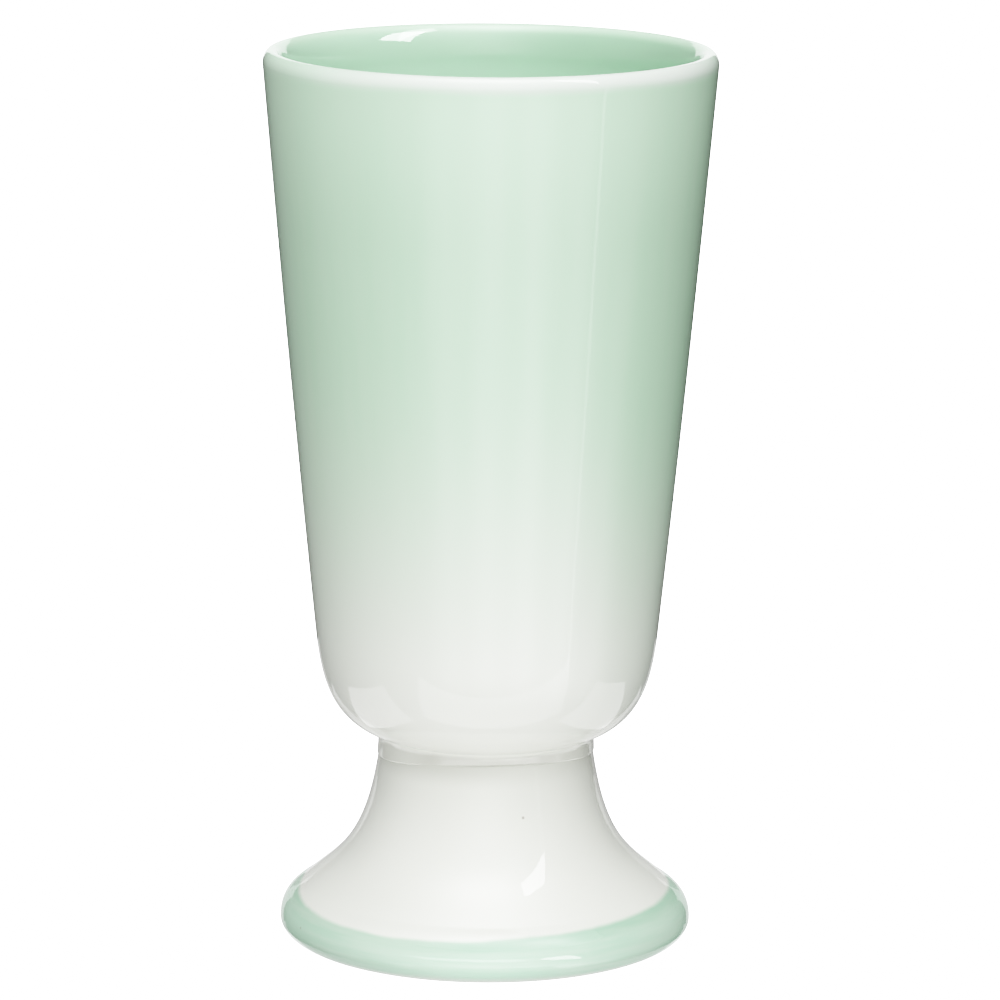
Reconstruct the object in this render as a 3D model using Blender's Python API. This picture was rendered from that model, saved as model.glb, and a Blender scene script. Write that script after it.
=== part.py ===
"""Mazagran cup: a tall porcelain bowl stuck onto a hollow trumpet foot with a ring of slip.

Every piece is turned: its section is drawn in the XZ plane and swept once round the Z axis.
Lengths are in metres, angles in degrees. A share is part of the stretch that its own curve spans.
"""
import math

import bpy
from mathutils import Vector

# Whole cup
overall_height = 0.1400
clearance = 0.0003

# Bowl
rim_radius = 0.0350
bowl_wall = 0.0030
lip_crown = 0.0021
lip_draft = 4.9
wall_draft = 5.9
shoulder_radius = 0.0268
shoulder_rise = 0.0174
shoulder_seat_angle = 15.4
shoulder_wall_share = 0.476
shoulder_seat_share = 0.828
bowl_floor = 0.0045
floor_wall_share = 0.85
floor_centre_share = 0.72

# Foot
foot_height = 0.0314
foot_radius = 0.0322
foot_wall = 0.0040
neck_radius = 0.0166
neck_flare = 7.2
neck_share = 0.70
flange_height = 0.0089
flange_slope = 39.5
flange_share = 0.62
rim_width = 0.0038
rim_height = 0.0033
rim_flange_share = 0.41
rim_side_share = 0.66
rim_tuck = 0.0046
ring_width = 0.0020
ring_round = 0.0008
recess_fillet = 0.0015

# Slip between the two seats
slip_thickness = 0.0006
seat_step = 0.0006
bead_reach = 0.0018
bead_drop = 0.0006
bead_edge = 0.0003

# Fineness of the turned surfaces
turn_steps = 56
wall_steps = 8
bend_steps = 12
lip_steps = 8
rim_steps = 7
bead_steps = 5

# Places that follow from the sizes
seat_radius = neck_radius - seat_step
bowl_seat = foot_height + slip_thickness + 2 * clearance
bowl_height = overall_height - bowl_seat
flange_radius = foot_radius - rim_width
recess_radius = foot_radius - rim_tuck - ring_width - ring_round


def heading(degrees_from_down):
    """Unit direction in the section, turned outward from straight down."""
    angle = math.radians(degrees_from_down)
    return Vector((math.sin(angle), -math.cos(angle)))


def curve(start, start_pull, end_pull, end, steps):
    """Points of a cubic curve, without its first point."""
    points = []
    for step in range(1, steps + 1):
        t = step / steps
        s = 1 - t
        points.append(s**3 * start + 3 * s * s * t * start_pull + 3 * s * t * t * end_pull + t**3 * end)
    return points


def quarter_round(corner_centre, across, along, steps):
    """Points of a quarter ellipse from the centre plus across to the centre plus along, without the first."""
    points = []
    for step in range(1, steps + 1):
        turn = 0.5 * math.pi * step / steps
        points.append(corner_centre + math.cos(turn) * across + math.sin(turn) * along)
    return points


def wall_line(lip, shoulder, steps):
    """Wall that leaves the lip at one draft angle and meets the shoulder at the other."""
    third = (lip.y - shoulder.y) / 3
    lip_pull = lip + third * Vector((-math.tan(math.radians(lip_draft)), -1))
    shoulder_pull = shoulder + third * Vector((math.tan(math.radians(wall_draft)), 1))
    return curve(lip, lip_pull, shoulder_pull, shoulder, steps)


def bowl_section():
    """Section of the bowl from its inner floor over the lip to its seat, measured up from the seat."""
    lip_base = bowl_height - lip_crown
    outer_lip = Vector((rim_radius, lip_base))
    inner_lip = Vector((rim_radius - bowl_wall, lip_base))
    lip_middle = Vector((rim_radius - bowl_wall / 2, lip_base))
    half_lip = Vector((bowl_wall / 2, 0))
    crown = Vector((0, lip_crown))

    shoulder = Vector((shoulder_radius, shoulder_rise))
    down_wall = heading(-wall_draft)
    seat = Vector((seat_radius, 0))
    into_seat = heading(shoulder_seat_angle - 90)
    shoulder_run = shoulder_radius - seat_radius

    inner_shoulder = shoulder - bowl_wall * Vector((-down_wall.y, down_wall.x))
    floor = Vector((0, bowl_floor))
    floor_pull = Vector((floor_centre_share * inner_shoulder.x, bowl_floor))
    floor_drop = inner_shoulder.y - bowl_floor
    wall_pull = inner_shoulder + floor_wall_share * floor_drop * down_wall

    inside = [inner_lip]
    inside += wall_line(inner_lip, inner_shoulder, wall_steps)
    inside += curve(inner_shoulder, wall_pull, floor_pull, floor, bend_steps)

    section = inside[::-1]
    section += quarter_round(lip_middle, -half_lip, crown, lip_steps // 2)
    section += quarter_round(lip_middle, crown, half_lip, lip_steps // 2)
    section += wall_line(outer_lip, shoulder, wall_steps)
    section += curve(
        shoulder,
        shoulder + shoulder_wall_share * shoulder_rise * down_wall,
        seat - shoulder_seat_share * shoulder_run * into_seat,
        seat,
        bend_steps,
    )
    section.append(Vector((0, 0)))
    return section


def trumpet(top, end, steps):
    """Concave flare from the neck's top to a point on the flange."""
    drop = top.y - end.y
    run = end.x - top.x
    neck_pull = top + neck_share * drop * heading(neck_flare)
    flange_pull = end - flange_share * run * heading(90 - flange_slope)
    return curve(top, neck_pull, flange_pull, end, steps)


def foot_section():
    """Closed section of the foot: down its outside, across the ring it stands on and up its hollow."""
    down_flange = heading(90 - flange_slope)
    neck_top = Vector((neck_radius, foot_height))
    flange = Vector((flange_radius, flange_height))
    widest = Vector((foot_radius, rim_height))
    rim_drop = flange_height - rim_height
    tuck_centre = Vector((foot_radius - rim_tuck, rim_height))

    # The hollow's ceiling runs one wall inside the flange until it meets the ring's inner side
    slope = math.radians(flange_slope)
    ceiling_gap = (foot_wall - (flange_radius - recess_radius) * math.sin(slope)) / math.cos(slope)
    recess_corner = Vector((recess_radius, flange_height - ceiling_gap))
    ceiling_end = recess_corner - recess_fillet * down_flange
    wall_end = recess_corner - Vector((0, recess_fillet))
    ring_corner = Vector((recess_radius + ring_round, ring_round))
    hollow_top = Vector((neck_radius - foot_wall, foot_height))

    hollow = [hollow_top]
    hollow += trumpet(hollow_top, ceiling_end, bend_steps)
    hollow += curve(ceiling_end, recess_corner, recess_corner, wall_end, rim_steps // 2)

    section = [neck_top]
    section += trumpet(neck_top, flange, bend_steps)
    section += curve(
        flange,
        flange + rim_flange_share * rim_width * down_flange,
        widest + Vector((0, rim_side_share * rim_drop)),
        widest,
        rim_steps,
    )
    section += quarter_round(tuck_centre, Vector((rim_tuck, 0)), Vector((0, -rim_height)), rim_steps)
    section.append(Vector((ring_corner.x, 0)))
    section += quarter_round(ring_corner, Vector((0, -ring_round)), Vector((-ring_round, 0)), rim_steps // 2)
    section += hollow[::-1]
    return section


def slip_section():
    """Closed section of the slip: a thin ring between the seats and a bead wiped into the corner outside."""
    top = slip_thickness + clearance
    under_shoulder = math.tan(math.radians(shoulder_seat_angle))
    bead_top = Vector((seat_radius + bead_reach, top + bead_reach * under_shoulder))
    bead_inside = neck_radius + clearance + bead_drop * math.tan(math.radians(neck_flare))
    bead_foot = Vector((bead_inside + bead_edge, -bead_drop))
    upper_edge = bead_top - Vector((0, bead_edge))
    hollow = Vector((bead_foot.x, upper_edge.y))

    section = [Vector((neck_radius - foot_wall, top)), Vector((seat_radius, top)), bead_top, upper_edge]
    section += curve(upper_edge, hollow, hollow, bead_foot, bead_steps)
    section.append(Vector((bead_inside, -bead_drop)))
    section.append(Vector((bead_inside, clearance)))
    section.append(Vector((neck_radius - foot_wall, clearance)))
    return section


def glazed(name, colour, roughness):
    """Principled material for a fired piece."""
    material = bpy.data.materials.new(name)
    material.use_nodes = True
    shader = material.node_tree.nodes["Principled BSDF"]
    shader.inputs["Base Color"].default_value = (*colour, 1.0)
    shader.inputs["Roughness"].default_value = roughness
    shader.inputs["Metallic"].default_value = 0.0
    return material


def turned_piece(name, section, closed, height, parent, material):
    """Object swept from a section about Z, with its own origin at the given height."""
    corners = [(point.x, 0.0, point.y) for point in section]
    edges = [(index, index + 1) for index in range(len(corners) - 1)]
    if closed:
        edges.append((len(corners) - 1, 0))
    mesh = bpy.data.meshes.new(name)
    mesh.from_pydata(corners, edges, [])
    mesh.materials.append(material)
    piece = bpy.data.objects.new(name, mesh)
    bpy.context.collection.objects.link(piece)
    piece.parent = parent
    piece.location = (0.0, 0.0, height)
    screw = piece.modifiers.new("Turn", "SCREW")
    screw.axis = "Z"
    screw.angle = 2 * math.pi
    screw.steps = turn_steps
    screw.render_steps = turn_steps
    screw.use_merge_vertices = True
    screw.merge_threshold = 0.00001
    screw.use_smooth_shade = True
    return piece


for leftover in list(bpy.data.objects):
    bpy.data.objects.remove(leftover)

cup = bpy.data.objects.new("cup", None)
bpy.context.collection.objects.link(cup)

white_porcelain = glazed("white_glazed_porcelain", (0.80, 0.81, 0.78), 0.12)
mint_porcelain = glazed("mint_glazed_porcelain", (0.53, 0.72, 0.61), 0.12)
fired_slip = glazed("fired_slip", (0.76, 0.76, 0.71), 0.25)

turned_piece("foot", foot_section(), True, 0.0, cup, white_porcelain)
turned_piece("luting_slip", slip_section(), True, foot_height, cup, fired_slip)
turned_piece("bowl", bowl_section(), False, bowl_seat, cup, mint_porcelain)
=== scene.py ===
"""Mazagran cup in its studio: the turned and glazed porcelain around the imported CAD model.

Lengths are in metres and angles in degrees. The cup stands on the origin and its front faces -Y.
"""

import math

import bmesh
import bpy
from mathutils import Matrix, Vector


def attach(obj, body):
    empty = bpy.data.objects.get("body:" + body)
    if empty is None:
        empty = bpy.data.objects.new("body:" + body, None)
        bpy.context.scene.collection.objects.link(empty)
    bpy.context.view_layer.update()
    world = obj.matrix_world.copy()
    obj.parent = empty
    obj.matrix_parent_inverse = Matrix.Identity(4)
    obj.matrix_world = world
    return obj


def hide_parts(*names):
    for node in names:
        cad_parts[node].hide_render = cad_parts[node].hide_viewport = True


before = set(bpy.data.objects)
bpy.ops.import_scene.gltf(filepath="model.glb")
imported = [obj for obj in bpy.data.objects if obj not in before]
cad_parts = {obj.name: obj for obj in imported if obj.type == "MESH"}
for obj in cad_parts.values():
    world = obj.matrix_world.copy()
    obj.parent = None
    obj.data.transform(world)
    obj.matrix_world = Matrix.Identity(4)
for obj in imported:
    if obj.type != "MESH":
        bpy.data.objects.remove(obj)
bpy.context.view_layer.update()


# Foot: a hollow trumpet of white porcelain, cast in a mould of its own and trimmed on the wheel.
# It has a clear gloss glaze all over but for the ring it stands on, which is wiped bare for the kiln.
# The mint band round its rim was laid on with a loaded brush while the foot turned.
# Grey up the neck and under the collar is painted shade.
foot_height = 0.0314
foot_radius = 0.0322
foot_wall = 0.0040
neck_radius = 0.0166
neck_flare = 7.2
neck_share = 0.70
flange_radius = 0.0284
flange_height = 0.0089
flange_slope = 39.5
flange_share = 0.62
rim_height = 0.0033
rim_flange_share = 0.41
rim_side_share = 0.66
rim_tuck = 0.0046
ring_width = 0.0020
ring_round = 0.0008
recess_fillet = 0.0015

# Points along the section, and steps of one turn of the wheel
trumpet_steps = 64
rim_steps = 28
ring_steps = 3
ring_round_steps = 8
recess_steps = 10
hollow_steps = 48
seat_steps = 4
turn_steps = 192

white_glaze = (0.822, 0.845, 0.770)
# Grey of the painted shade on the foot's neck, under the collar and on the bowl's waist
painted_shade_grey = (0.560, 0.574, 0.512)
bare_porcelain = (0.740, 0.725, 0.660)
band_mint = (0.400, 0.625, 0.466)
band_edge_mint = (0.320, 0.540, 0.385)
iron_speck = (0.180, 0.150, 0.110)
iron_spots = [((0.0058, -0.0172, 0.0232), 0.00032), ((-0.0287, -0.0146, 0.0047), 0.00034)]

# The band's edge is a leaning, twisted and wavering level. Each pair runs from where a mark starts to where it is full
band_height = 0.0085
band_lean = (0.003, 0.043, -1.0)
band_twist = -0.89
band_waver = 0.0007
band_softness = 0.0006
band_pool = (0.0024, 0.0006)
band_worn = (0.0017, 0.0006)
brush_marks = (55.0, 55.0, 700.0)
dry_brush_height = (0.0046, 0.0064)
dry_brush_front = (-0.019, -0.027)
dry_brush_roughness = 0.32
wiped_ring = (0.00025, 0.00008)
wiped_roughness = 0.6
# Painted shade: grey up the neck under the bowl, more just under the collar and less to the right
neck_shade = (0.0120, 0.0260)
seam_shade = (0.0272, 0.0310)
seam_shade_right = (-0.002, 0.008)
gloss_roughness = (0.012, 0.022)


def heading(degrees_from_down):
    """Unit direction in the section, turned outward from straight down."""
    angle = math.radians(degrees_from_down)
    return Vector((math.sin(angle), -math.cos(angle)))


def bend(start, start_pull, end_pull, end, steps):
    """Points of a cubic curve, without its first point."""
    points = []
    for step in range(1, steps + 1):
        t = step / steps
        s = 1 - t
        points.append(s**3 * start + 3 * s * s * t * start_pull + 3 * s * t * t * end_pull + t**3 * end)
    return points


def quarter_round(centre, across, along, steps):
    """Points of a quarter ellipse from the centre plus across to the centre plus along, without the first."""
    points = []
    for step in range(1, steps + 1):
        turn = 0.5 * math.pi * step / steps
        points.append(centre + math.cos(turn) * across + math.sin(turn) * along)
    return points


def straight(start, end, steps):
    """Evenly spaced points of a straight line, without its first point."""
    return [start.lerp(end, step / steps) for step in range(1, steps + 1)]


def trumpet(top, end, steps):
    """Concave flare from the neck's top to a point on the flange."""
    neck_pull = top + neck_share * (top.y - end.y) * heading(neck_flare)
    flange_pull = end - flange_share * (end.x - top.x) * heading(90 - flange_slope)
    return bend(top, neck_pull, flange_pull, end, steps)


def foot_section():
    """Section of the foot: down its outside, across the ring it stands on, up its hollow and over its top.

    Also gives the number of the point where the hollow starts.
    """
    down_flange = heading(90 - flange_slope)
    neck_top = Vector((neck_radius, foot_height))
    flange = Vector((flange_radius, flange_height))
    widest = Vector((foot_radius, rim_height))
    tuck_centre = Vector((foot_radius - rim_tuck, rim_height))
    recess_radius = foot_radius - rim_tuck - ring_width - ring_round
    slope = math.radians(flange_slope)
    ceiling_gap = (foot_wall - (flange_radius - recess_radius) * math.sin(slope)) / math.cos(slope)
    recess_corner = Vector((recess_radius, flange_height - ceiling_gap))
    ceiling_end = recess_corner - recess_fillet * down_flange
    wall_end = recess_corner - Vector((0, recess_fillet))
    ring_corner = Vector((recess_radius + ring_round, ring_round))
    hollow_top = Vector((neck_radius - foot_wall, foot_height))

    hollow = [hollow_top]
    hollow += trumpet(hollow_top, ceiling_end, hollow_steps)
    hollow += bend(ceiling_end, recess_corner, recess_corner, wall_end, recess_steps)

    section = [neck_top]
    section += trumpet(neck_top, flange, trumpet_steps)
    section += bend(
        flange,
        flange + rim_flange_share * (foot_radius - flange_radius) * down_flange,
        widest + Vector((0, rim_side_share * (flange_height - rim_height))),
        widest,
        rim_steps,
    )
    section += quarter_round(tuck_centre, Vector((rim_tuck, 0)), Vector((0, -rim_height)), rim_steps)
    section += straight(section[-1], Vector((ring_corner.x, 0)), ring_steps)
    hollow_start = len(section) + ring_round_steps // 2 - 1
    section += quarter_round(ring_corner, Vector((0, -ring_round)), Vector((-ring_round, 0)), ring_round_steps)
    section += hollow[::-1]
    section += straight(hollow_top, neck_top, seat_steps)
    return section, hollow_start


def lathe_tree():
    """Geometry Nodes tree that turns a section about Z, as the wheel does, and lets the glaze run uneven."""
    tree = bpy.data.node_groups.new("lathe", "GeometryNodeTree")
    link = tree.links.new

    def socket(name, kind, in_out="INPUT"):
        return tree.interface.new_socket(name, in_out=in_out, socket_type="NodeSocket" + kind)

    def node(kind, **settings):
        made = tree.nodes.new(kind)
        for setting, value in settings.items():
            setattr(made, setting, value)
        return made

    def maths(operation, first, second):
        made = node("ShaderNodeMath", operation=operation)
        for plug, value in zip(made.inputs, (first, second)):
            if isinstance(value, (int, float)):
                plug.default_value = value
            else:
                link(value, plug)
        return made.outputs[0]

    socket("Section", "Geometry")
    socket("Turn steps", "Int")
    socket("Glaze wave depth", "Float")
    socket("Glaze wave length", "Float")
    socket("Glaze wave seed", "Float")
    socket("Sag at the sides", "Float")
    socket("Sag to the left", "Float")
    socket("Sag flare", "Float")
    socket("Finish", "Material")
    socket("Piece", "Geometry", "OUTPUT")
    given = node("NodeGroupInput").outputs
    result = node("NodeGroupOutput").inputs

    # One column of the grid for each step of the turn, one row for each point of the section
    count = node("GeometryNodeAttributeDomainSize", component="MESH")
    link(given["Section"], count.inputs[0])
    rows = count.outputs["Point Count"]
    grid = node("GeometryNodeMeshGrid")
    link(maths("ADD", given["Turn steps"], 1), grid.inputs["Vertices X"])
    link(rows, grid.inputs["Vertices Y"])
    index = node("GeometryNodeInputIndex").outputs[0]
    column = maths("FLOOR", maths("DIVIDE", maths("ADD", index, 0.5), rows), 0)
    row = maths("SUBTRACT", index, maths("MULTIPLY", column, rows))
    turned = maths("DIVIDE", column, given["Turn steps"])

    def from_section(value, data_type):
        sample = node("GeometryNodeSampleIndex", data_type=data_type, domain="POINT")
        link(given["Section"], sample.inputs["Geometry"])
        link(value, sample.inputs["Value"])
        link(row, sample.inputs["Index"])
        return sample.outputs[0]

    def named(name):
        read = node("GeometryNodeInputNamedAttribute", data_type="FLOAT")
        read.inputs["Name"].default_value = name
        return read.outputs[0]

    def store(shape, name, value, data_type="FLOAT", domain="POINT"):
        keep = node("GeometryNodeStoreNamedAttribute", data_type=data_type, domain=domain)
        link(shape, keep.inputs["Geometry"])
        keep.inputs["Name"].default_value = name
        link(value, keep.inputs["Value"])
        return keep.outputs[0]

    # The turn runs clockwise, so that the faces of a section drawn from inside to outside look outward
    place = node("ShaderNodeVectorRotate", rotation_type="Z_AXIS")
    link(from_section(node("GeometryNodeInputPosition").outputs[0], "FLOAT_VECTOR"), place.inputs["Vector"])
    link(maths("MULTIPLY", turned, -2 * math.pi), place.inputs["Angle"])
    turn = node("GeometryNodeSetPosition")
    link(grid.outputs["Mesh"], turn.inputs["Geometry"])
    link(place.outputs[0], turn.inputs["Position"])
    shape = turn.outputs[0]
    shape = store(shape, "turned", turned)
    for name in ("along", "inside", "sagging"):
        shape = store(shape, name, from_section(named(name), "FLOAT"))
    spread = node("ShaderNodeCombineXYZ")
    link(named("turned"), spread.inputs[0])
    link(named("along"), spread.inputs[1])
    shape = store(shape, "OFBake", spread.outputs[0], "FLOAT2", "CORNER")
    closed = node("GeometryNodeMergeByDistance")
    link(shape, closed.inputs["Geometry"])
    closed.inputs["Distance"].default_value = 1e-6

    # A wiped edge hangs lower at the sides than in front, and follows the flare of what it lies on
    part = node("ShaderNodeSeparateXYZ")
    link(node("GeometryNodeInputPosition").outputs[0], part.inputs[0])
    radius = maths("SQRT", maths("ADD", maths("POWER", part.outputs[0], 2), maths("POWER", part.outputs[1], 2)), 0)
    across = maths("DIVIDE", part.outputs[0], maths("MAXIMUM", radius, 1e-6))
    forward = maths("DIVIDE", part.outputs[1], maths("MAXIMUM", radius, 1e-6))
    side_sag = maths("MULTIPLY", given["Sag at the sides"], maths("POWER", across, 2))
    left_sag = maths("MULTIPLY", given["Sag to the left"], across)
    sag = maths("MULTIPLY", maths("SUBTRACT", side_sag, left_sag), named("sagging"))
    outward = maths("MULTIPLY", sag, given["Sag flare"])
    drop = node("ShaderNodeCombineXYZ")
    link(maths("MULTIPLY", outward, across), drop.inputs[0])
    link(maths("MULTIPLY", outward, forward), drop.inputs[1])
    link(maths("MULTIPLY", sag, -1), drop.inputs[2])
    hang = node("GeometryNodeSetPosition")
    link(closed.outputs[0], hang.inputs["Geometry"])
    link(drop.outputs[0], hang.inputs["Offset"])

    # The glaze's waves only ever dip into the wall, so that the piece keeps the size it was turned to
    wave = node("ShaderNodeTexNoise", noise_dimensions="4D")
    link(node("GeometryNodeInputPosition").outputs[0], wave.inputs["Vector"])
    link(given["Glaze wave seed"], wave.inputs["W"])
    link(maths("DIVIDE", 1, given["Glaze wave length"]), wave.inputs["Scale"])
    wave.inputs["Detail"].default_value = 1
    dip = maths("MULTIPLY", maths("SUBTRACT", wave.outputs[0], 1), given["Glaze wave depth"])
    push = node("ShaderNodeVectorMath", operation="SCALE")
    link(node("GeometryNodeInputNormal").outputs[0], push.inputs[0])
    link(dip, push.inputs["Scale"])
    run = node("GeometryNodeSetPosition")
    link(hang.outputs[0], run.inputs["Geometry"])
    link(push.outputs[0], run.inputs["Offset"])

    smooth = node("GeometryNodeSetShadeSmooth")
    link(run.outputs[0], smooth.inputs["Geometry"])
    real = node("GeometryNodeRealizeInstances")
    link(smooth.outputs[0], real.inputs["Geometry"])
    finish = node("GeometryNodeSetMaterial")
    link(real.outputs[0], finish.inputs["Geometry"])
    link(given["Finish"], finish.inputs["Material"])
    link(finish.outputs[0], result["Piece"])
    return tree


lathe = lathe_tree()


def turned_piece(name, section, finish, inside=(), sagging=(), **sizes):
    """Piece turned from a section of radius and height, as a plain mesh. The two lists mark its points."""
    blank = bpy.data.meshes.new(name + "_section")
    blank.from_pydata([(p.x, 0.0, p.y) for p in section], [(i, i + 1) for i in range(len(section) - 1)], [])
    lengths = [0.0]
    for here, there in zip(section, section[1:]):
        lengths.append(lengths[-1] + (there - here).length)
    marks = {"along": [length / lengths[-1] for length in lengths], "inside": inside, "sagging": sagging}
    for mark, values in marks.items():
        values = list(values) or [0.0] * len(section)
        blank.attributes.new(mark, "FLOAT", "POINT").data.foreach_set("value", values)
    piece = bpy.data.objects.new(name, blank)
    bpy.context.collection.objects.link(piece)
    wheel = piece.modifiers.new("Lathe", "NODES")
    wheel.node_group = lathe
    sizes = {"Turn steps": turn_steps, "Finish": finish, **sizes}
    for item in lathe.interface.items_tree:
        if item.in_out == "INPUT" and item.name in sizes:
            wheel[item.identifier] = sizes[item.name]
    done = bpy.data.meshes.new_from_object(piece.evaluated_get(bpy.context.evaluated_depsgraph_get()))
    done.name = name
    done.materials.clear()
    done.materials.append(finish)
    done.polygons.foreach_set("material_index", [0] * len(done.polygons))
    piece.modifiers.remove(wheel)
    piece.data = done
    bpy.data.meshes.remove(blank)
    shell = bmesh.new()
    shell.from_mesh(done)
    bmesh.ops.recalc_face_normals(shell, faces=shell.faces)
    shell.to_mesh(done)
    shell.free()
    return piece


class Glaze:
    """A fired finish as a node tree on Object coordinates, with the few kinds of node that these finishes need."""

    def __init__(self, name):
        self.material = bpy.data.materials.new(name)
        self.material.use_nodes = True
        self.nodes = self.material.node_tree.nodes
        self.link = self.material.node_tree.links.new
        self.shader = self.nodes["Principled BSDF"]
        self.place = self.nodes.new("ShaderNodeTexCoord").outputs["Object"]
        parts = self.nodes.new("ShaderNodeSeparateXYZ")
        self.link(self.place, parts.inputs[0])
        self.x, self.y, self.z = parts.outputs

    def plug(self, value, socket):
        if isinstance(value, bpy.types.NodeSocket):
            self.link(value, socket)
        elif isinstance(value, tuple) and socket.type == "RGBA":
            socket.default_value = (*value, 1.0)
        else:
            socket.default_value = value

    def maths(self, operation, first, second=0.0):
        made = self.nodes.new("ShaderNodeMath")
        made.operation = operation
        self.plug(first, made.inputs[0])
        self.plug(second, made.inputs[1])
        return made.outputs[0]

    def ramp(self, value, start, end, low=0.0, high=1.0, kind="SMOOTHSTEP"):
        made = self.nodes.new("ShaderNodeMapRange")
        made.interpolation_type = kind
        for socket, given in zip(made.inputs, (value, start, end, low, high)):
            self.plug(given, socket)
        return made.outputs[0]

    def stretched(self, scale):
        made = self.nodes.new("ShaderNodeMapping")
        self.link(self.place, made.inputs["Vector"])
        made.inputs["Scale"].default_value = scale
        return made.outputs[0]

    def noise(self, scale, detail=2.0, vector=None):
        made = self.nodes.new("ShaderNodeTexNoise")
        self.link(vector or self.place, made.inputs["Vector"])
        made.inputs["Scale"].default_value = scale
        made.inputs["Detail"].default_value = detail
        return made.outputs[0]

    def uneven(self, low, high, *noise):
        """Value that drifts between two limits over the piece."""
        return self.ramp(self.noise(*noise), 0.3, 0.7, low, high)

    def wander(self, depth, *noise):
        """Length that wanders about zero over the piece."""
        return self.maths("MULTIPLY", self.maths("SUBTRACT", self.noise(*noise), 0.5), depth)

    def mix(self, amount, first, second):
        made = self.nodes.new("ShaderNodeMix")
        made.data_type = "RGBA"
        colours = [socket for socket in made.inputs if socket.type == "RGBA"]
        self.plug(amount, made.inputs[0])
        self.plug(first, colours[0])
        self.plug(second, colours[1])
        return [socket for socket in made.outputs if socket.type == "RGBA"][0]

    def attribute(self, name):
        made = self.nodes.new("ShaderNodeAttribute")
        made.attribute_name = name
        return made.outputs["Fac"]

    def specks(self, colour, share, size):
        """Adds a few small burnt specks of iron to a colour."""
        cells = self.nodes.new("ShaderNodeTexVoronoi")
        self.link(self.place, cells.inputs["Vector"])
        cells.inputs["Scale"].default_value = 110.0
        chance = self.nodes.new("ShaderNodeSeparateColor")
        self.link(cells.outputs["Color"], chance.inputs[0])
        chosen = self.maths("LESS_THAN", chance.outputs[0], share)
        dot = self.ramp(cells.outputs["Distance"], size, 0.5 * size)
        return self.mix(self.maths("MULTIPLY", dot, chosen), colour, iron_speck)

    def spot(self, colour, place, reach):
        """Adds one speck of iron at a place."""
        apart = self.nodes.new("ShaderNodeVectorMath")
        apart.operation = "DISTANCE"
        self.link(self.place, apart.inputs[0])
        apart.inputs[1].default_value = place
        return self.mix(self.ramp(apart.outputs["Value"], reach, 0.4 * reach, 0.0, 0.6), colour, iron_speck)

    def surface(self, colour, roughness, relief, depth):
        bump = self.nodes.new("ShaderNodeBump")
        bump.inputs["Distance"].default_value = depth
        self.link(relief, bump.inputs["Height"])
        self.link(colour, self.shader.inputs["Base Color"])
        self.link(roughness, self.shader.inputs["Roughness"])
        self.link(bump.outputs[0], self.shader.inputs["Normal"])
        self.shader.inputs["IOR"].default_value = 1.5
        return self.material


def banded_glaze():
    """Clear glaze over white porcelain, with the brushed mint band, the bare ring and painted shade on the neck."""
    glaze = Glaze("banded_white_glaze")
    lean = glaze.nodes.new("ShaderNodeVectorMath")
    lean.operation = "DOT_PRODUCT"
    glaze.link(glaze.place, lean.inputs[0])
    lean.inputs[1].default_value = band_lean
    twist = glaze.maths("MULTIPLY", glaze.maths("MULTIPLY", glaze.x, glaze.y), band_twist)
    uneven_edge = glaze.maths("ADD", twist, glaze.wander(band_waver, 95.0, 3.0))
    below = glaze.maths("ADD", glaze.maths("ADD", lean.outputs["Value"], band_height), uneven_edge)
    band = glaze.ramp(below, -0.5 * band_softness, 0.5 * band_softness)
    streaks = glaze.noise(1.0, 3.0, glaze.stretched(brush_marks))
    load = glaze.ramp(streaks, 0.32, 0.66, 0.82, 1.0)
    worn = glaze.ramp(glaze.z, *band_worn, 1.0, 0.40)
    outside = glaze.ramp(glaze.attribute("inside"), 0.4, 0.6, 1.0, 0.0)
    amount = glaze.maths("MULTIPLY", glaze.maths("MULTIPLY", band, outside), glaze.maths("MULTIPLY", load, worn))
    mint = glaze.mix(glaze.ramp(below, *band_pool, 0.0, 0.8), band_mint, band_edge_mint)

    white = glaze.mix(glaze.uneven(0.0, 1.0, 38.0, 3.0), white_glaze, tuple(0.975 * part for part in white_glaze))
    # Painted shade: grey up the neck and under the collar, less to the right
    white = glaze.mix(glaze.ramp(glaze.z, *neck_shade, 0.0, 0.15), white, painted_shade_grey)
    under_seam = glaze.ramp(glaze.z, *seam_shade, 0.0, 0.92)
    under_seam = glaze.maths("MULTIPLY", under_seam, glaze.ramp(glaze.x, *seam_shade_right, 1.0, 0.50))
    white = glaze.mix(under_seam, white, painted_shade_grey)

    colour = glaze.mix(amount, white, mint)
    colour = glaze.mix(glaze.ramp(glaze.z, *wiped_ring), colour, bare_porcelain)
    colour = glaze.specks(colour, 0.05, 0.022)
    for spot, reach in iron_spots:
        colour = glaze.spot(colour, spot, reach)

    gloss = glaze.uneven(*gloss_roughness, 60.0, 3.0)
    dry = glaze.maths("MULTIPLY", amount, glaze.ramp(glaze.z, *dry_brush_height, 0.0, dry_brush_roughness))
    dry = glaze.maths("MULTIPLY", dry, glaze.ramp(glaze.y, *dry_brush_front))
    wiped = glaze.ramp(glaze.z, *wiped_ring, 0.0, wiped_roughness)
    roughness = glaze.maths("MAXIMUM", glaze.maths("MAXIMUM", gloss, dry), wiped)
    return glaze.surface(colour, roughness, glaze.noise(320.0, 2.0), 0.00003)


section, hollow_start = foot_section()
foot = turned_piece(
    "foot_trumpet",
    section,
    banded_glaze(),
    inside=[1.0 if i >= hollow_start else 0.0 for i in range(len(section))],
    **{"Glaze wave depth": 0.00005, "Glaze wave length": 0.011, "Glaze wave seed": 3.0},
)
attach(foot, "root")
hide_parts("foot")
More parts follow.
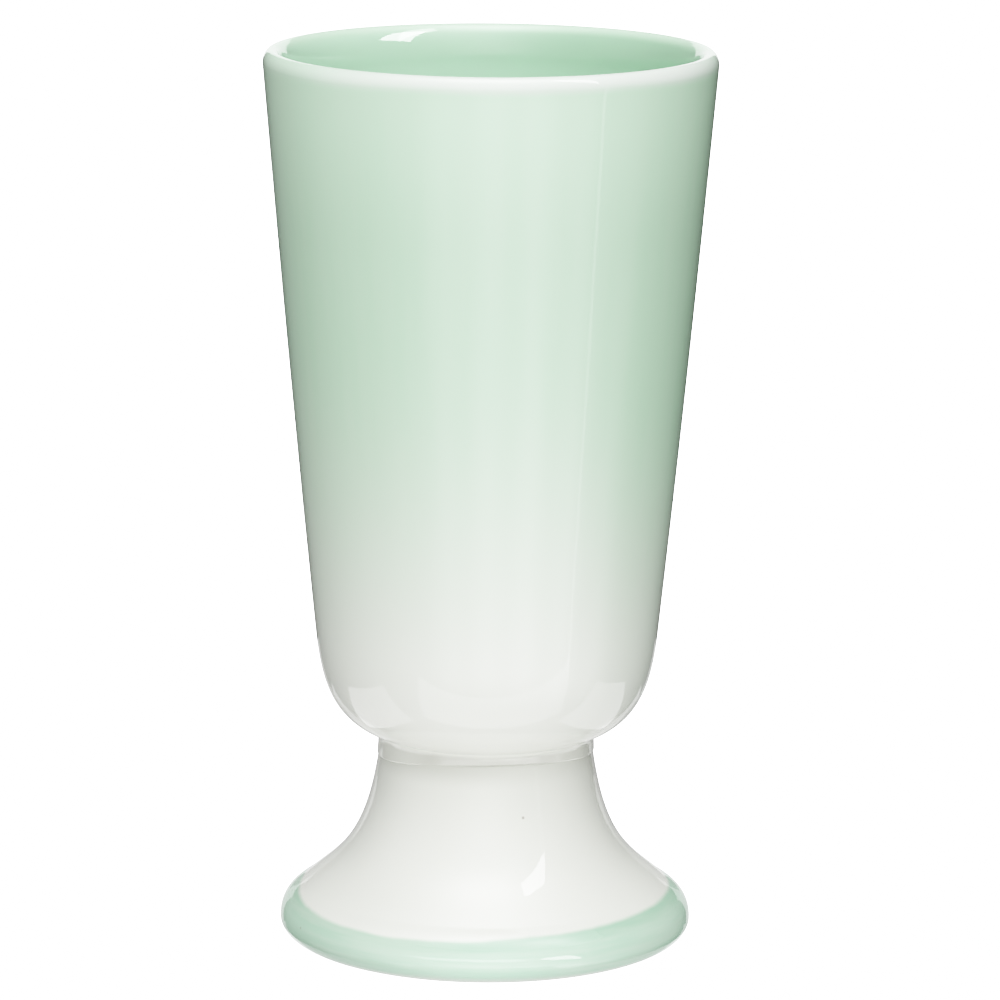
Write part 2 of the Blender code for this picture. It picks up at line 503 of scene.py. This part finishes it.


# Luting slip: runny porcelain clay that sticks the bowl to the foot before they are fired into one.
# It is a thin ring between the two seats, and what is squeezed out is wiped into a collar round the neck.
# The collar's lower edge was wiped by hand, lower at the sides than in front, and glaze pools along it.
# Painted shade darkens that pooled glaze, most in front.
seat_height = 0.0326
seat_radius = 0.0160
shoulder_seat_angle = 15.4
shoulder_radius = 0.0268
shoulder_rise = 0.0174
shoulder_wall_share = 0.476
shoulder_seat_share = 0.828
wall_draft = 5.9
collar_radius = 0.01692
collar_reach = 0.0019
collar_edge_height = 0.0314
collar_edge_radius = 0.01681
collar_tuck = 0.0004
slip_lap = 0.00004
side_sag = 0.0015
left_sag = 0.0004
sag_flare = 0.13
shoulder_trace_steps = 200
fillet_steps = 16
collar_steps = 12
edge_steps = 8
tuck_steps = 3

slip_white = (0.800, 0.818, 0.742)
# Pooled glaze with painted shade, low on the collar and most in front
pooled_glaze_and_shade = (0.500, 0.510, 0.456)
pool_and_shade_height = (0.0330, 0.0322)
pool_and_shade_front = (0.007, 0.0145)


def shoulder_line(steps):
    """Points of the bowl's shoulder from the end of its wall to the edge of its seat."""
    shoulder = Vector((shoulder_radius, seat_height + shoulder_rise))
    seat = Vector((seat_radius, seat_height))
    wall_pull = shoulder + shoulder_wall_share * shoulder_rise * heading(-wall_draft)
    seat_pull = seat - shoulder_seat_share * (shoulder_radius - seat_radius) * heading(shoulder_seat_angle - 90)
    return [shoulder] + bend(shoulder, wall_pull, seat_pull, seat, steps)


def slip_section():
    """Section of the slip: over its seat, round the fillet under the shoulder and down the wiped collar.

    Also gives how far each of its points sags with the wiped edge.
    """
    inner = neck_radius - foot_wall
    seat = Vector((seat_radius, seat_height))
    shoulder = shoulder_line(shoulder_trace_steps)[::-1]
    above = [point + Vector((0, slip_lap)) for point in shoulder if point.x < seat_radius + collar_reach]
    tip = above[-1]
    along_shoulder = (above[-1] - above[-2]).normalized()
    collar_top = Vector((collar_radius, seat_height - 0.0006))
    edge = Vector((collar_edge_radius, collar_edge_height))
    tuck = Vector((neck_radius - collar_tuck, collar_edge_height - 0.0003))
    tuck_inside = Vector((neck_radius - collar_tuck, foot_height - 0.0006))

    section = [Vector((inner, seat_height))]
    section += straight(section[0], seat, seat_steps)
    section += above
    section += bend(tip, tip - 0.0008 * along_shoulder, collar_top + Vector((0, 0.0006)), collar_top, fillet_steps)
    body = len(section)
    section += straight(collar_top, edge, collar_steps)
    section += bend(edge, edge - Vector((0, 0.00012)), tuck + Vector((0.0002, 0)), tuck, edge_steps)
    wiped = len(section)
    section += straight(tuck, tuck_inside, tuck_steps)
    section += straight(tuck_inside, Vector((inner, foot_height)), seat_steps)
    section += straight(section[-1], section[0], seat_steps)

    sagging = [0.0] * body
    sagging += [min(1.0, (step + 1) / collar_steps) for step in range(wiped - body)]
    sagging += [1.0] + [0.0] * (len(section) - wiped - 1)
    return section, sagging


def pooled_slip():
    """Fired slip under clear glaze, which pools a little yellow along the seam, darkened there by painted shade."""
    glaze = Glaze("pooled_slip_glaze")
    cloud = glaze.ramp(glaze.noise(140.0, 3.0), 0.35, 0.65)
    in_front = glaze.ramp(glaze.maths("ABSOLUTE", glaze.x), *pool_and_shade_front, 1.0, 0.35)
    # Pooled glaze and painted shade along the collar's lower edge, strongest in front
    pool_and_shade = glaze.maths("MULTIPLY", glaze.ramp(glaze.z, *pool_and_shade_height, 0.10, 1.0), in_front)
    pool_and_shade = glaze.maths("MULTIPLY", pool_and_shade, glaze.ramp(cloud, 0.0, 1.0, 0.88, 1.0))
    colour = glaze.mix(pool_and_shade, slip_white, pooled_glaze_and_shade)
    roughness = glaze.uneven(0.03, 0.06, 200.0, 2.0)
    return glaze.surface(colour, roughness, glaze.noise(420.0, 2.0), 0.00004)


section, sagging = slip_section()
slip = turned_piece(
    "luting_collar",
    section,
    pooled_slip(),
    sagging=sagging,
    **{
        "Glaze wave depth": 0.00005,
        "Glaze wave length": 0.006,
        "Glaze wave seed": 11.0,
        "Sag at the sides": side_sag,
        "Sag to the left": left_sag,
        "Sag flare": sag_flare,
    },
)
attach(slip, "root")
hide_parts("luting_slip")


# Bowl: a tall tapered porcelain bowl, cast thick, with a round lip and a shoulder that dives into the neck.
# Mint glaze fills the inside and was sprayed down the outside so that it fades to the white body.
# The glaze runs thin over the lip, where the white shows through.
# A painted highlight whitens the lip most in front and to the right, and painted light pales the mint near the rim.
# Painted shade darkens the inside to the right, the outside near the seat, and the right side where the spray reaches
# lower.
overall_height = 0.1400
rim_radius = 0.0350
bowl_wall = 0.0030
lip_wall = 0.0036
lip_outer = (0.0014, 0.0021)
lip_inner_drop = 0.0060
lip_draft = 4.9
bowl_floor = 0.0045
floor_wall_share = 0.85
floor_centre_share = 0.72
floor_steps = 48
inner_wall_steps = 56
inner_lip_steps = 24
outer_lip_steps = 16
outer_wall_steps = 64
shoulder_steps = 56
bottom_steps = 12

body_white = (0.826, 0.843, 0.775)
sprayed_mint = (0.496, 0.757, 0.535)
# Inside mint, lighter to the left and darker to the right as painted light and shade
painted_lit_inner_mint = (0.540, 0.815, 0.600)
painted_shade_inner_mint = (0.360, 0.612, 0.410)
deep_mint = (0.620, 0.920, 0.700)
# Paler mint near the rim, as painted light
painted_light_mint = (0.590, 0.878, 0.632)
# The lip's white: thin glaze, brightened as a painted highlight
lip_white_and_highlight = (0.880, 0.950, 0.885)

# Each pair runs from where a coat, a mark, a painted light or a painted shade starts to where it is full
spray_fade = (0.034, 0.100)
spray_drift = 0.010
# The spray reaches lower on the right, which paints shade on that side
spray_and_shade_right = (0.012, 0.026)
spray_and_shade_right_drop = 0.007
spray_streaks = (420.0, 420.0, 9.0)
lip_waver = 0.0009
thin_lip_outside = (0.1369, 0.1389)
thin_lip_inside = (0.1388, 0.1399)
# Painted highlight on the lip, more in front and to the right
lip_highlight_front = (0.004, 0.033)
lip_highlight_right_share = 0.35
# Painted light near the rim, outside and on the lip's inside
painted_light_rim_outside = (0.112, 0.136)
painted_light_rim_inside = (0.1384, 0.1400)
# Painted shade inside, to the right
painted_shade_inside_right = (-0.026, 0.030)
deep_inside = (0.1385, 0.1315)
# Painted shade on the outside near the seat
waist_shade = (0.0405, 0.0345)


def wall_line(lip, shoulder, steps):
    """Wall that leaves the lip at one draft angle and meets the shoulder at the other."""
    third = (lip.y - shoulder.y) / 3
    lip_pull = lip + third * Vector((-math.tan(math.radians(lip_draft)), -1))
    shoulder_pull = shoulder + third * Vector((math.tan(math.radians(wall_draft)), 1))
    return bend(lip, lip_pull, shoulder_pull, shoulder, steps)


def bowl_section():
    """Section of the bowl from its inner floor over the lip to the middle of its seat.

    Also gives how many of its points lie inside, up to the lip's crown.
    """
    top = overall_height
    outer_lip = Vector((rim_radius, top - lip_outer[1]))
    crown = Vector((rim_radius - lip_outer[0], top))
    inner_radius = rim_radius - lip_wall - math.tan(math.radians(lip_draft)) * (lip_inner_drop - lip_outer[1])
    inner_lip = Vector((inner_radius, top - lip_inner_drop))
    inner_centre = Vector((crown.x, inner_lip.y))
    outer_centre = Vector((crown.x, outer_lip.y))
    shoulder = Vector((shoulder_radius, seat_height + shoulder_rise))
    down_wall = heading(-wall_draft)
    seat = Vector((seat_radius, seat_height))
    inner_shoulder = shoulder - bowl_wall * Vector((-down_wall.y, down_wall.x))
    floor = Vector((0, seat_height + bowl_floor))
    floor_pull = Vector((floor_centre_share * inner_shoulder.x, floor.y))
    wall_pull = inner_shoulder + floor_wall_share * (inner_shoulder.y - floor.y) * down_wall

    inside = [inner_lip]
    inside += wall_line(inner_lip, inner_shoulder, inner_wall_steps)
    inside += bend(inner_shoulder, wall_pull, floor_pull, floor, floor_steps)
    section = inside[::-1]
    section += quarter_round(inner_centre, inner_lip - inner_centre, Vector((0, lip_inner_drop)), inner_lip_steps)
    inside_points = len(section)
    section += quarter_round(outer_centre, Vector((0, lip_outer[1])), Vector((lip_outer[0], 0)), outer_lip_steps)
    section += wall_line(outer_lip, shoulder, outer_wall_steps)
    section += shoulder_line(shoulder_steps)[1:]
    section += straight(seat, Vector((0, seat_height)), bottom_steps)
    return section, inside_points


def sprayed_glaze():
    """Mint glaze, sprayed so that it fades down the outside and thin on the lip, with painted light, highlight and
    shade.
    """
    glaze = Glaze("sprayed_mint_glaze")
    inside = glaze.ramp(glaze.attribute("inside"), 0.4, 0.6)
    drift = glaze.wander(spray_drift, 28.0, 3.0)
    # The spray reaches lower on the right, which paints shade on that side
    drift = glaze.maths("ADD", drift, glaze.ramp(glaze.x, *spray_and_shade_right, 0.0, spray_and_shade_right_drop))
    sprayed = glaze.ramp(glaze.maths("ADD", glaze.z, drift), *spray_fade)
    streaks = glaze.uneven(0.96, 1.0, 1.0, 2.0, glaze.stretched(spray_streaks))
    sprayed = glaze.maths("MULTIPLY", sprayed, streaks)
    amount = glaze.maths("MAXIMUM", sprayed, inside)

    near_lip = glaze.maths("ADD", glaze.z, glaze.wander(lip_waver, 70.0, 2.0))
    thin_outside = glaze.ramp(near_lip, *thin_lip_outside)
    thin_inside = glaze.ramp(near_lip, *thin_lip_inside)
    thin_lip_and_highlight = glaze.ramp(inside, 0.0, 1.0, thin_outside, thin_inside, "LINEAR")
    # Painted highlight: the thin lip is whiter in front and to the right
    lip_highlight_lean = glaze.maths("SUBTRACT", glaze.maths("MULTIPLY", glaze.x, lip_highlight_right_share), glaze.y)
    thin_lip_and_highlight = glaze.maths("MULTIPLY", thin_lip_and_highlight, glaze.ramp(lip_highlight_lean, *lip_highlight_front, 0.20, 0.90))

    # Painted light: paler mint near the rim and on the lip's inside
    painted_light_outside = glaze.ramp(glaze.z, *painted_light_rim_outside)
    painted_light_inside = glaze.ramp(glaze.z, *painted_light_rim_inside)
    painted_light_rim = glaze.ramp(inside, 0.0, 1.0, painted_light_outside, painted_light_inside, "LINEAR")
    # Painted shade: the inside mint darker to the right and lighter to the left
    pooled = glaze.mix(glaze.ramp(glaze.x, *painted_shade_inside_right), painted_lit_inner_mint, painted_shade_inner_mint)
    pooled = glaze.mix(glaze.ramp(glaze.z, *deep_inside, 0.0, 0.34), pooled, deep_mint)
    mint = glaze.mix(inside, sprayed_mint, pooled)
    mint = glaze.mix(painted_light_rim, mint, painted_light_mint)

    colour = glaze.mix(amount, body_white, mint)
    # Painted shade: grey on the outside near the seat, under the shoulder
    outside = glaze.maths("SUBTRACT", 1.0, inside)
    waist = glaze.maths("MULTIPLY", glaze.ramp(glaze.z, *waist_shade, 0.0, 0.34), outside)
    colour = glaze.mix(waist, colour, painted_shade_grey)
    colour = glaze.mix(thin_lip_and_highlight, colour, lip_white_and_highlight)
    colour = glaze.specks(colour, 0.015, 0.018)
    roughness = glaze.uneven(*gloss_roughness, 45.0, 3.0)
    return glaze.surface(colour, roughness, glaze.noise(260.0, 2.0), 0.00002)


section, inside_points = bowl_section()
bowl = turned_piece(
    "bowl_shell",
    section,
    sprayed_glaze(),
    inside=[1.0 if i < inside_points else 0.0 for i in range(len(section))],
    **{"Glaze wave depth": 0.00004, "Glaze wave length": 0.022, "Glaze wave seed": 7.0},
)
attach(bowl, "root")
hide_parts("bowl")


# Studio: soft light from all round, a glowing table, a softbox at the upper right and white cards near the cup.
# Many of them light only the matt body or show only in the gloss, and the camera sees plain white around the cup.
# The view curve bends the brightest tones, as the photograph's do.

# Soft lights, and those that only the gloss shows: azimuth from the front, elevation, tightness and strength
soft_lights = [
    (-30, 15, 12, 0.24),
    (0, 15, 12, 2.63),
    (0, 45, 12, 1.81),
    (30, 45, 12, 1.69),
    (0, 75, 12, 3.79),
    (-60, 75, 12, 0.80),
    (60, 75, 12, 3.60),
    (-20, 72, 14, 3.40),
    (-75, -22, 40, 0.31),
    (-50, -22, 40, 1.71),
    (-25, -22, 40, 5.27),
    (0, -22, 40, 6.07),
    (25, -22, 40, 4.49),
    (50, -22, 40, 1.00),
    (-140, 5, 12, 0.60),
]
soft_sheens = [
    (0, 72, 24, 4.0),
    (-85, 22, 5, 1.6),
    (0, -22, 40, 1.82),
    (25, -22, 40, 4.32),
    (50, -22, 40, 6.05),
    (75, -22, 40, 3.04),
]
dome_radius = 1.6
white_surround = 4.5
floor_reach = 2.0
steep_ray = (0.22, 0.14)
far_ray = (0.060, 0.080)


def toward(azimuth, elevation, distance):
    """Place seen from the cup at an azimuth from the front, positive to the right, and an elevation."""
    a, e = math.radians(azimuth), math.radians(elevation)
    return distance * Vector((math.sin(a) * math.cos(e), -math.cos(a) * math.cos(e), math.sin(e)))


def wired(tree, kind, values=(), **settings):
    """Outputs of a new node, which takes each value as a number or from the socket that gives it."""
    made = tree.nodes.new(kind)
    for setting, value in settings.items():
        setattr(made, setting, value)
    for plug, value in zip(made.inputs, values):
        if isinstance(value, bpy.types.NodeSocket):
            tree.links.new(value, plug)
        else:
            plug.default_value = value
    return made.outputs


def soft_glow(tree, direction, lights):
    """Socket for the sum of soft lights, each brightest towards its own side and fading round it."""
    glow = 0.0
    for azimuth, elevation, tightness, strength in lights:
        side = toward(azimuth, elevation, 1.0)
        facing = wired(tree, "ShaderNodeVectorMath", (direction, side), operation="DOT_PRODUCT")["Value"]
        ahead_only = wired(tree, "ShaderNodeMath", (facing, 0.0), operation="MAXIMUM")[0]
        spread = wired(tree, "ShaderNodeMath", (ahead_only, tightness), operation="POWER")[0]
        glow = wired(tree, "ShaderNodeMath", (spread, strength, glow), operation="MULTIPLY_ADD")[0]
    return glow


def glow_film(name, strength, fades=(), one_sided=False, low_only=False):
    """Clear film that shines and lets through what shines behind it.

    Each fade runs from dark to bright along an axis, or by the lean of the ray that meets the film.
    A film that shines low only is dark to rays that come steeply from high on the cup.
    """
    material = bpy.data.materials.new(name)
    material.use_nodes = True
    tree = material.node_tree
    tree.nodes.remove(tree.nodes["Principled BSDF"])

    def rise(value, start, end, top=1.0):
        given = (value, start, end, 0.0, top)
        return wired(tree, "ShaderNodeMapRange", given, interpolation_type="SMOOTHSTEP")[0]

    def remainder(share):
        return wired(tree, "ShaderNodeMath", (1.0, share), operation="SUBTRACT")[0]

    place = wired(tree, "ShaderNodeSeparateXYZ", (wired(tree, "ShaderNodeTexCoord")["Object"],))
    lean = wired(tree, "ShaderNodeLayerWeight")["Facing"]
    shares = [rise(lean if axis == "lean" else place[axis], dark, bright) for axis, dark, bright in fades]
    if one_sided:
        shares.append(remainder(wired(tree, "ShaderNodeNewGeometry")["Backfacing"]))
    if low_only:
        length = wired(tree, "ShaderNodeLightPath")["Ray Length"]
        shares.append(remainder(rise(length, *far_ray, rise(lean, *steep_ray))))
    level = strength
    for share in shares:
        level = wired(tree, "ShaderNodeMath", (share, level), operation="MULTIPLY")[0]
    shine = wired(tree, "ShaderNodeEmission", ((1, 1, 1, 1), level))[0]
    clear = wired(tree, "ShaderNodeBsdfTransparent")[0]
    both = wired(tree, "ShaderNodeAddShader", (shine, clear))[0]
    tree.links.new(both, tree.nodes["Material Output"].inputs["Surface"])
    return material


def studio_piece(name, corners, faces, material, in_matt=True, in_gloss=True):
    """Piece of the studio that the camera looks past."""
    mesh = bpy.data.meshes.new(name)
    mesh.from_pydata(corners, [], faces)
    mesh.materials.append(material)
    made = bpy.data.objects.new(name, mesh)
    bpy.context.collection.objects.link(made)
    made.visible_camera = False
    made.visible_shadow = False
    made.visible_diffuse = in_matt
    made.visible_glossy = in_gloss


def quads(corners):
    """Faces that take four corners each, in their order."""
    return [tuple(range(first, first + 4)) for first in range(0, len(corners), 4)]


def panel(name, corners, strength, fades=(), one_sided=False, low_only=False, **seen):
    """Shining panel of one or more four-cornered faces."""
    studio_piece(name, corners, quads(corners), glow_film(name, strength, fades, one_sided, low_only), **seen)


def upright(y, left, right, low, high):
    """Corners of a panel that stands across the view."""
    return [(left, y, low), (right, y, low), (right, y, high), (left, y, high)]


def ring(inner, outer, height, start=0, end=360, steps=48):
    """Corners of a flat ring round the cup, or of a part of it between two azimuths."""
    corners = []
    for step in range(steps):
        here, there = (math.radians(start + (end - start) * (step + ahead) / steps) for ahead in (0, 1))
        for turn, reach in ((here, inner), (there, inner), (there, outer), (here, outer)):
            corners.append((reach * math.sin(turn), -reach * math.cos(turn), height))
    return corners


# Glowing table: its light lifts the matt body from below, and its bright parts show in the glaze.
# The ring next to the foot lies a little under the table, and a dark part in front of it keeps the rim's shade.
table_height = 0.0002
lit_table = [
    ("front", [(-0.034, -0.034), (-0.082, -0.085), (0.115, -0.085), (0.034, -0.034)], 2.1),
    ("left", [(-0.095, -0.034), (-0.034, -0.034), (-0.034, 0.200), (-0.095, 0.200)], 1.1),
    ("right", [(0.034, -0.034), (0.106, -0.034), (0.106, 0.200), (0.034, 0.200)], 0.7),
    ("back", [(-0.034, 0.034), (0.034, 0.034), (0.034, 0.200), (-0.034, 0.200)], 1.2),
]
for name, outline, glow in lit_table:
    panel("table_light_" + name, [(x, y, table_height) for x, y in outline], glow, in_gloss=False)
panel("back_fill", upright(0.85, 0.22, -0.22, -0.05, 0.75), 7.0, in_gloss=False)

wide_lean = ("lean", 0.80, 0.65)
close_lean = ("lean", 0.56, 0.44)
shown_table = [
    ("front", [(-0.045, -0.048), (-0.082, -0.085), (0.115, -0.085), (0.060, -0.048)], 3.0, wide_lean),
    ("left", [(-0.095, -0.034), (-0.060, -0.0325), (-0.060, 0.030), (-0.095, 0.030)], 2.8, wide_lean),
    ("right", [(0.060, -0.030), (0.106, -0.026), (0.106, 0.030), (0.060, 0.030)], 2.8, wide_lean),
    ("close_front", [(-0.037, -0.040), (-0.045, -0.048), (0.060, -0.048), (0.049, -0.040)], 3.0, close_lean),
    ("close_left", [(-0.040, -0.0293), (-0.060, -0.0325), (-0.060, 0.030), (-0.040, 0.030)], 2.8, close_lean),
    ("close_right", [(0.040, 0.030), (0.060, 0.030), (0.060, -0.030), (0.040, -0.0308)], 2.8, close_lean),
]
for name, outline, glow, fade in shown_table:
    corners = [(x, y, table_height) for x, y in outline]
    panel("table_sheen_" + name, corners, glow, fades=[fade], low_only=True, in_matt=False)

near_fade = ("X", -0.070, 0.020)
panel("table_light_near", ring(0.0278, 0.046, -table_height), 0.70, fades=[near_fade], in_gloss=False)
panel("table_sheen_near", ring(0.0270, 0.0335, -table_height), 1.7, in_matt=False)
dark_table = bpy.data.materials.new("dark_table")
dark_table.use_nodes = True
dark_coat = dark_table.node_tree.nodes["Principled BSDF"].inputs
dark_coat["Base Color"].default_value = (0, 0, 0, 1)
dark_coat["Specular IOR Level"].default_value = 0.0
shade = ring(0.0325, 0.047, -3 * table_height, -24, 24, 16)
studio_piece("table_shade", shade, quads(shade), dark_table, in_matt=False)

# Cards: two low ones that the foot's rim shows, those behind the foot and the lip,
# one for the bright mark inside the bowl, and a thin strip and a softbox to the right
rim_spot = Vector((0.0115, -0.0300, 0.0045))
near_sights = [(27, 5.5), (36.7, 9.5), (45.2, 9.7), (53, 5.5), (58.9, -5.4)]
far_sights = [(27, 5.4), (35.9, 0.6), (44.9, -1.5), (52.4, -4.4), (58.9, -5.5)]
near_edge = [rim_spot + toward(*sight, 0.050) for sight in near_sights]
far_edge = [rim_spot + toward(*sight, 0.086) for sight in far_sights]
rim_card = []
for step in range(len(near_edge) - 1):
    rim_card += [near_edge[step], near_edge[step + 1], far_edge[step + 1], far_edge[step]]
panel("rim_card", rim_card, 19.0, one_sided=True, in_matt=False)
panel(
    "rim_glow",
    [(-0.100, -0.080, 0.0165), (0.055, -0.080, 0.0165), (0.055, -0.175, -0.008), (-0.100, -0.175, -0.008)],
    9.0,
    fades=[("Z", 0.0035, 0.0105), ("Z", 0.0165, 0.0118), ("X", -0.090, -0.045), ("X", 0.052, 0.017)],
    one_sided=True,
    in_matt=False,
)
behind_foot = 0.05
for name, edge in (("left", -1), ("right", 1)):
    panel("back_card_" + name, upright(behind_foot, edge * 0.0450, edge * 0.0575, -0.012, 0.017), 1.5)
back_strips = [("foot", -0.012, 0.006, 1.7), ("neck", 0.006, 0.019, 0.6), ("shoulder", 0.019, 0.034, 1.1)]
for name, low, high, glow in back_strips:
    panel("back_card_" + name, upright(behind_foot, -0.045, 0.045, low, high), glow)
panel("back_card_low", upright(behind_foot, -0.065, 0.065, -0.040, -0.012), 1.3, in_matt=False)
panel("lip_card", upright(0.3, -0.1, 0.1, 0.114, 0.260), 2.5, in_matt=False)
horn_outline = [(0.0435, 0.170), (0.0430, 0.236), (0.112, 0.283), (0.1173, 0.2125)]
panel("horn_card", [(x, -0.02, z) for x, z in horn_outline], 32.0, one_sided=True, in_matt=False)
strip_foot = [(0.0945, -0.0765, 0.0), (0.0965, -0.0745, 0.0)]
strip_top = [(0.0965, -0.0745, 0.16), (0.0945, -0.0765, 0.16)]
panel("reflector_edge", strip_foot + strip_top, 3.0, in_matt=False)
softbox_sights = [(57.5, 31.0), (70.5, 60.0), (64.0, 71.0), (43.0, 61.0)]
panel("side_softbox", [toward(*sight, 1.0) for sight in softbox_sights], 17.0, in_matt=False)

# Dome of the soft lights that only the gloss shows
dome_form = bmesh.new()
bmesh.ops.create_icosphere(dome_form, subdivisions=4, radius=dome_radius)
dome_corners = [vertex.co.copy() for vertex in dome_form.verts]
dome_faces = [tuple(vertex.index for vertex in face.verts) for face in dome_form.faces]
dome_form.free()
dome_film = glow_film("sheen_dome", 1.0)
dome_tree = dome_film.node_tree
dome_place = wired(dome_tree, "ShaderNodeTexCoord")["Object"]
outward = wired(dome_tree, "ShaderNodeVectorMath", (dome_place,), operation="NORMALIZE")[0]
dome_tree.links.new(soft_glow(dome_tree, outward, soft_sheens), dome_tree.nodes["Emission"].inputs["Strength"])
studio_piece("sheen_dome", dome_corners, dome_faces, dome_film, in_matt=False)

# White floor and surround, for the camera alone; the soft lights come from the world
floor_corners = [(x * floor_reach, y * floor_reach, 0) for x, y in ((-1, -1), (1, -1), (1, 1), (-1, 1))]
floor_mesh = bpy.data.meshes.new("floor")
floor_mesh.from_pydata(floor_corners, [], quads(floor_corners))
floor_mesh.materials.append(glow_film("white_floor", white_surround))
floor = bpy.data.objects.new("floor", floor_mesh)
bpy.context.collection.objects.link(floor)
floor.visible_diffuse = False
floor.visible_glossy = False
floor.visible_shadow = False

world = bpy.data.worlds.new("studio")
world.use_nodes = True
sky = world.node_tree
look = wired(sky, "ShaderNodeTexCoord")["Generated"]
shown = sky.nodes.new("ShaderNodeMix")
shown.data_type = "FLOAT"
sky.links.new(wired(sky, "ShaderNodeLightPath")["Is Camera Ray"], shown.inputs[0])
sky.links.new(soft_glow(sky, look, soft_lights), shown.inputs[2])
shown.inputs[3].default_value = white_surround
sky.links.new(shown.outputs[0], sky.nodes["Background"].inputs["Strength"])
sky.nodes["Background"].inputs["Color"].default_value = (1, 1, 1, 1)
bpy.context.scene.world = world

# Camera: placed, turned and framed as the cup's outline in the photograph asks
camera_place = Vector((0.0, -0.910, 0.2533))
camera_pitch = 11.41
camera_yaw = 0.119
camera_roll = 0.44
camera_lens = 215.2
sensor_width = 36.0
pitch, yaw, roll = (math.radians(angle) for angle in (camera_pitch, camera_yaw, camera_roll))
ahead = Vector((math.sin(yaw) * math.cos(pitch), math.cos(yaw) * math.cos(pitch), -math.sin(pitch)))
level_right = ahead.cross(Vector((0, 0, 1))).normalized()
level_up = level_right.cross(ahead)
right = math.cos(roll) * level_right + math.sin(roll) * level_up
up = math.cos(roll) * level_up - math.sin(roll) * level_right
camera = bpy.data.objects.new("camera", bpy.data.cameras.new("camera"))
bpy.context.collection.objects.link(camera)
camera.data.sensor_width = sensor_width
camera.data.lens = camera_lens
camera.data.clip_start = 0.01
camera.location = camera_place
camera.rotation_euler = Matrix((right, up, -ahead)).transposed().to_euler()
bpy.context.scene.camera = camera

# View curve: tones near white are pressed together, up to the level that shows as pure white
white_level = 4.0
curve_shares = (0.04, 0.09, 0.15, 0.22, 0.30, 0.40, 0.52, 0.66, 0.82)
view = bpy.context.scene.view_settings
view.view_transform = "Standard"
view.look = "None"
view.use_curve_mapping = True
tones = view.curve_mapping
tones.white_level = (white_level, white_level, white_level)
tones.extend = "HORIZONTAL"
tone_curve = tones.curves[3]
for share in curve_shares:
    tone = (1 - math.exp(-white_level * share)) / (1 - math.exp(-white_level))
    tone_curve.points.new(share, tone)
tones.update()
